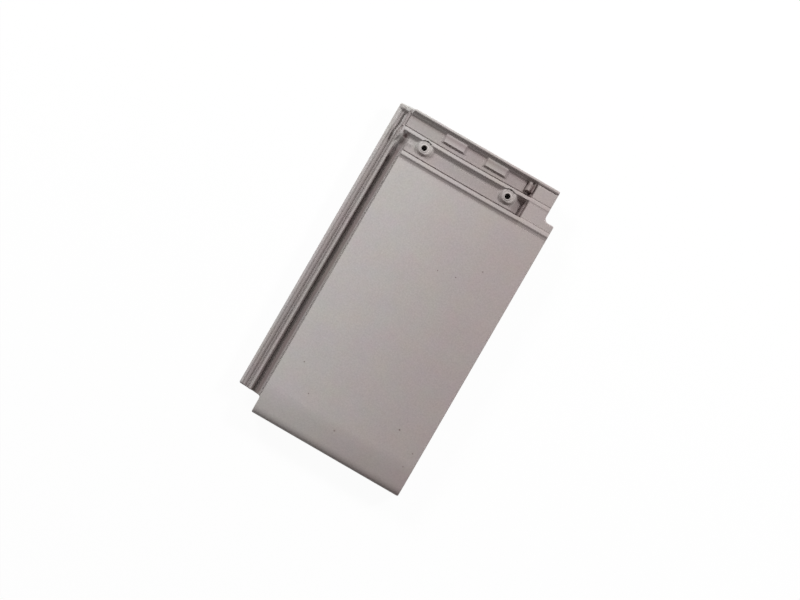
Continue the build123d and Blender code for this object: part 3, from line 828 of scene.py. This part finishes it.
# Painted fall of light: the colour goes from lighter on the left to darker on the right.
painted_falloff = add_node(tree, "ShaderNodeMapRange", {"interpolation_type": "SMOOTHSTEP"}, {
    "Value": axes["X"], "From Min": -falloff_reach / 1000, "From Max": falloff_reach / 1000,
}).outputs["Result"]
falloff_tone = add_node(tree, "ShaderNodeMix", {"data_type": "RGBA"}, {
    "Factor": painted_falloff, "A": linear(painted_lighter_left), "B": linear(painted_darker_right),
}).outputs["Result"]
cloud = add_node(tree, "ShaderNodeTexNoise", None, {
    "Vector": place, "Scale": 1000 / cloud_width, "Detail": 3.0, "Roughness": 0.6,
}).outputs["Color"]
speck = add_node(tree, "ShaderNodeTexNoise", None, {
    "Vector": place, "Scale": 1000 / speck_width, "Detail": 2.0, "Roughness": 0.7,
}).outputs["Fac"]
clouded = add_node(tree, "ShaderNodeMix", {"data_type": "RGBA", "blend_type": "OVERLAY"}, {
    "Factor": 0.06, "A": falloff_tone, "B": cloud,
}).outputs["Result"]
speckled = add_node(tree, "ShaderNodeMix", {"data_type": "RGBA", "blend_type": "OVERLAY"}, {
    "Factor": 0.2, "A": clouded, "B": speck,
}).outputs["Result"]

# The colour is darkened by painted shade and by the pinholes' dark marks: the tint goes on by the
# highest of the mesh's painted shade and each pinhole's.
painted_shade = add_node(tree, "ShaderNodeAttribute", {"attribute_name": "painted_shade"}).outputs["Fac"]
for hole_across, hole_along, hole_width in pinholes:
    from_middle = (hole_across - tile_width / 2, hole_along - tile_length / 2, body_top)
    away = add_node(tree, "ShaderNodeVectorMath", {"operation": "DISTANCE"}, {
        0: place, 1: [length / 1000 for length in from_middle],
    })
    pit = add_node(tree, "ShaderNodeMapRange", {"interpolation_type": "SMOOTHSTEP"}, {
        "Value": away.outputs["Value"], "From Min": 0.0, "From Max": hole_width / 1000,
        "To Min": 1.0, "To Max": 0.0,
    }).outputs["Result"]
    either = add_node(tree, "ShaderNodeMath", {"operation": "MAXIMUM"}, {0: painted_shade, 1: pit})
    painted_shade = either.outputs[0]
tone = add_node(tree, "ShaderNodeMix", {"data_type": "RGBA", "blend_type": "MULTIPLY"}, {
    "Factor": painted_shade, "A": speckled, "B": linear(painted_shade_tint),
})

grain = add_node(tree, "ShaderNodeTexNoise", None, {
    "Vector": place, "Scale": 1000 / grain_width, "Detail": 3.0, "Roughness": 0.6,
}).outputs["Fac"]
swell = add_node(tree, "ShaderNodeTexNoise", None, {
    "Vector": place, "Scale": 1000 / swell_width, "Detail": 2.0, "Roughness": 0.5,
}).outputs["Fac"]
swell_bump = add_node(tree, "ShaderNodeBump", None, {
    "Height": swell, "Strength": 0.5, "Distance": swell_height / 1000,
}).outputs["Normal"]
grain_bump = add_node(tree, "ShaderNodeBump", None, {
    "Height": grain, "Strength": 0.4, "Distance": grain_height / 1000, "Normal": swell_bump,
}).outputs["Normal"]

shader = add_node(tree, "ShaderNodeBsdfPrincipled", None, {
    "Base Color": tone.outputs["Result"],
    "Roughness": 0.5,
    "IOR": 1.5,
    "Normal": grain_bump,
})
add_node(tree, "ShaderNodeOutputMaterial", None, {"Surface": shader.outputs["BSDF"]})
tile.data.materials.clear()
tile.data.materials.append(engobe)


# Studio floor. A white painted board under the tile, which the camera sees as white. Well inside the
# tile's plan it is painted dark, softly, as a painted shadow, so that the gap under the tile looks
# shaded when it is seen from the side.
floor_size = 6000.0
camera_white = 0.96
shade_full_inside = 37.0
shade_start_inside = 24.0
shaded_paint = (0.05, 0.05, 0.05, 1.0)
white_paint = (0.9, 0.9, 0.9, 1.0)
white_light = (1.0, 1.0, 1.0, 1.0)

board_corners = np.array([(-1, -1, 0), (1, -1, 0), (1, 1, 0), (-1, 1, 0)]) * floor_size / 2000
floor_mesh = bpy.data.meshes.new("floor")
floor_mesh.from_pydata(board_corners.tolist(), [], [(0, 1, 2, 3)])
floor = bpy.data.objects.new("floor", floor_mesh)
bpy.context.scene.collection.objects.link(floor)
board = bpy.data.materials.new("white_painted_board")
board.use_nodes = True
tree = board.node_tree
tree.nodes.clear()
glow = add_node(tree, "ShaderNodeEmission", None, {"Color": white_light, "Strength": 1.0})
rays = add_node(tree, "ShaderNodeLightPath")
floor_place = add_node(tree, "ShaderNodeTexCoord").outputs["Object"]
floor_axes = add_node(tree, "ShaderNodeSeparateXYZ", None, {"Vector": floor_place}).outputs

# Distance outside the tile's box, negative inside: the larger of |x| and |y|, each less half of
# the tile's size.
past_edge = []
for axis, size in (("X", tile_width), ("Y", tile_length)):
    past_middle = add_node(tree, "ShaderNodeMath", {"operation": "ABSOLUTE"}, {0: floor_axes[axis]})
    past_edge.append(add_node(tree, "ShaderNodeMath", {"operation": "SUBTRACT"}, {
        0: past_middle.outputs[0], 1: size / 2000,
    }).outputs[0])
outward = add_node(tree, "ShaderNodeMath", {"operation": "MAXIMUM"}, {
    0: past_edge[0], 1: past_edge[1],
}).outputs[0]
clear = add_node(tree, "ShaderNodeMapRange", {"interpolation_type": "SMOOTHSTEP"}, {
    "Value": outward, "From Min": -shade_full_inside / 1000, "From Max": -shade_start_inside / 1000,
}).outputs["Result"]
tone = add_node(tree, "ShaderNodeMix", {"data_type": "RGBA"}, {
    "Factor": clear, "A": shaded_paint, "B": white_paint,
})
paint = add_node(tree, "ShaderNodeBsdfDiffuse", None, {"Color": tone.outputs["Result"]})
seen = add_node(tree, "ShaderNodeMath", {"operation": "MULTIPLY"}, {
    0: rays.outputs["Is Camera Ray"], 1: clear,
}).outputs[0]
share = add_node(tree, "ShaderNodeMath", {"operation": "MULTIPLY"}, {0: seen, 1: camera_white})
mix = add_node(tree, "ShaderNodeMixShader", None, {
    0: share.outputs[0], 1: paint.outputs["BSDF"], 2: glow.outputs["Emission"],
})
add_node(tree, "ShaderNodeOutputMaterial", None, {"Surface": mix.outputs["Shader"]})
floor_mesh.materials.append(board)


# Lights. One softbox stands off the tile's head and right side, a wider one by the head and
# left side fills its shadows, and an even, faintly warm room gives the rest.
scene = bpy.context.scene
tile_middle = Vector((0.0, 0.0, 0.04))
room_colour = (1.0, 0.9, 0.89, 1.0)
room_strength = 0.15


def softbox(name, compass, elevation, distance, width, watts):
    """Square area lamp aimed at the tile, its distance and width in metres. Compass runs in
    degrees from +X towards +Y."""
    lamp_data = bpy.data.lights.new(name, "AREA")
    lamp_data.shape = "SQUARE"
    lamp_data.size = width
    lamp_data.energy = watts
    lamp = bpy.data.objects.new(name, lamp_data)
    scene.collection.objects.link(lamp)
    turn = math.radians(compass)
    rise = math.radians(elevation)
    aim = Vector((math.cos(turn) * math.cos(rise), math.sin(turn) * math.cos(rise), math.sin(rise)))
    lamp.location = tile_middle + aim * distance
    lamp.rotation_mode = "QUATERNION"
    lamp.rotation_quaternion = aim.to_track_quat("Z", "Y")


softbox("key_softbox", compass=50.0, elevation=37.0, distance=3.2, width=0.6, watts=80.0)
softbox("fill_softbox", compass=142.0, elevation=33.0, distance=2.5, width=0.7, watts=45.0)
room = bpy.data.worlds.new("room")
scene.world = room
room.use_nodes = True
background = room.node_tree.nodes["Background"]
background.inputs["Color"].default_value = room_colour
background.inputs["Strength"].default_value = room_strength


# Camera. Straight above the tile, with a long lens, turned so that the tile's head points to
# the upper right as in the photograph. The scale is metres a pixel.
photo_scale = 0.001397
photo_width = 800
photo_height = 600
tile_photo_middle = (399.9, 298.6)
photo_turn = math.radians(30.1)
lens = 200.0
sensor = 36.0

camera_data = bpy.data.cameras.new("camera")
camera_data.lens = lens
camera_data.sensor_width = sensor
camera = bpy.data.objects.new("camera", camera_data)
scene.collection.objects.link(camera)
camera_height = photo_scale * photo_width * lens / sensor
right = Vector((math.cos(photo_turn), math.sin(photo_turn), 0.0))
up = Vector((-math.sin(photo_turn), math.cos(photo_turn), 0.0))
offset_right = (photo_width / 2 - tile_photo_middle[0]) * photo_scale
offset_up = (tile_photo_middle[1] - photo_height / 2) * photo_scale
above_middle = tile_middle + Vector((0, 0, camera_height))
camera.location = above_middle + right * offset_right + up * offset_up
camera.rotation_euler = (0.0, 0.0, photo_turn)
camera_data.clip_start = 0.1
camera_data.clip_end = 50.0
scene.camera = camera
scene.view_settings.view_transform = "Standard"
